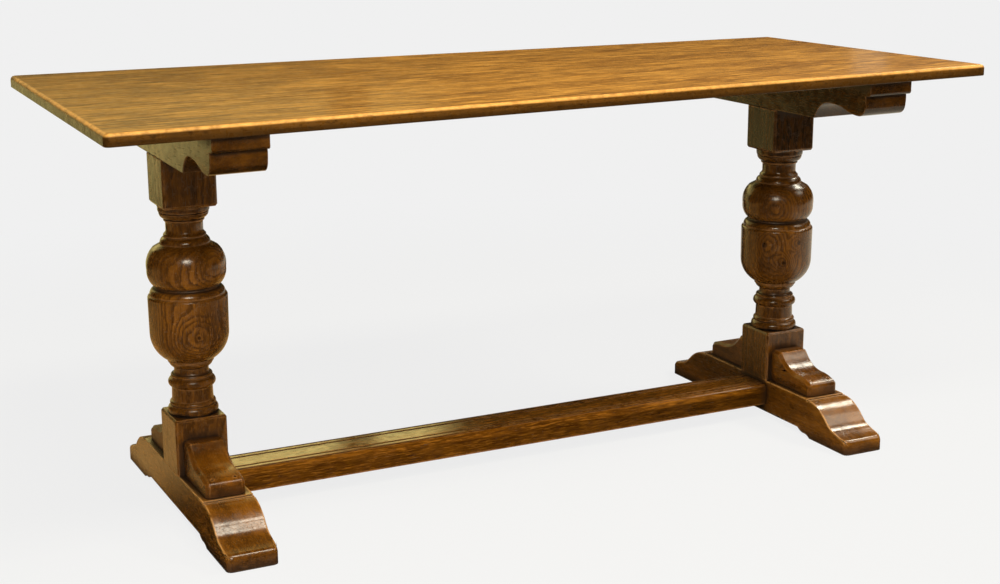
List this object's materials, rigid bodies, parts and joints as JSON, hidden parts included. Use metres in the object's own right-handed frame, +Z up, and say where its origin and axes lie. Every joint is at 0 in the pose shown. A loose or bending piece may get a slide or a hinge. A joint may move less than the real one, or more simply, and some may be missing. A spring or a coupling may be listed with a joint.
{
  "type": "refectory table",
  "caption": "Oak refectory table with a plank top on turned cup-and-cover pillars, moulded bearers, scrolled sledge feet and a beaded floor stretcher.",
  "frame": {"origin": "on the floor under the middle of the top", "axes": "+X along the length of the top, +Y across it towards the back, +Z up"},
  "size_m": [1.676, 0.711, 0.749],
  "materials": {
    "oak_top": "waxed, worn pale along the edges",
    "oak_frame": "dark stain with a polished wax shine",
    "oak_inner": "bare wood inside the joints",
    "steel": "dull dark steel"
  },
  "bodies": {
    "root": {"bearer_left": "oak_frame", "bearer_right": "oak_frame", "bearer_wedges_left": "oak_inner", "bearer_wedges_right": "oak_inner", "bracket_left_back": "oak_frame", "bracket_left_front": "oak_frame", "bracket_pins_left": "steel", "bracket_pins_right": "steel", "bracket_right_back": "oak_frame", "bracket_right_front": "oak_frame", "foot_left": "oak_frame", "foot_right": "oak_frame", "foot_wedges_left": "oak_inner", "foot_wedges_right": "oak_inner", "pillar_left": "oak_frame", "pillar_right": "oak_frame", "stretcher": "oak_frame", "stretcher_peg_left": "oak_inner", "stretcher_peg_right": "oak_inner", "top_board_back": "oak_top", "top_board_front": "oak_top", "top_board_middle": "oak_top", "top_screws_left": "steel", "top_screws_right": "steel", "top_tongue_back": "oak_inner", "top_tongue_front": "oak_inner"}
  },
  "joints": []
}
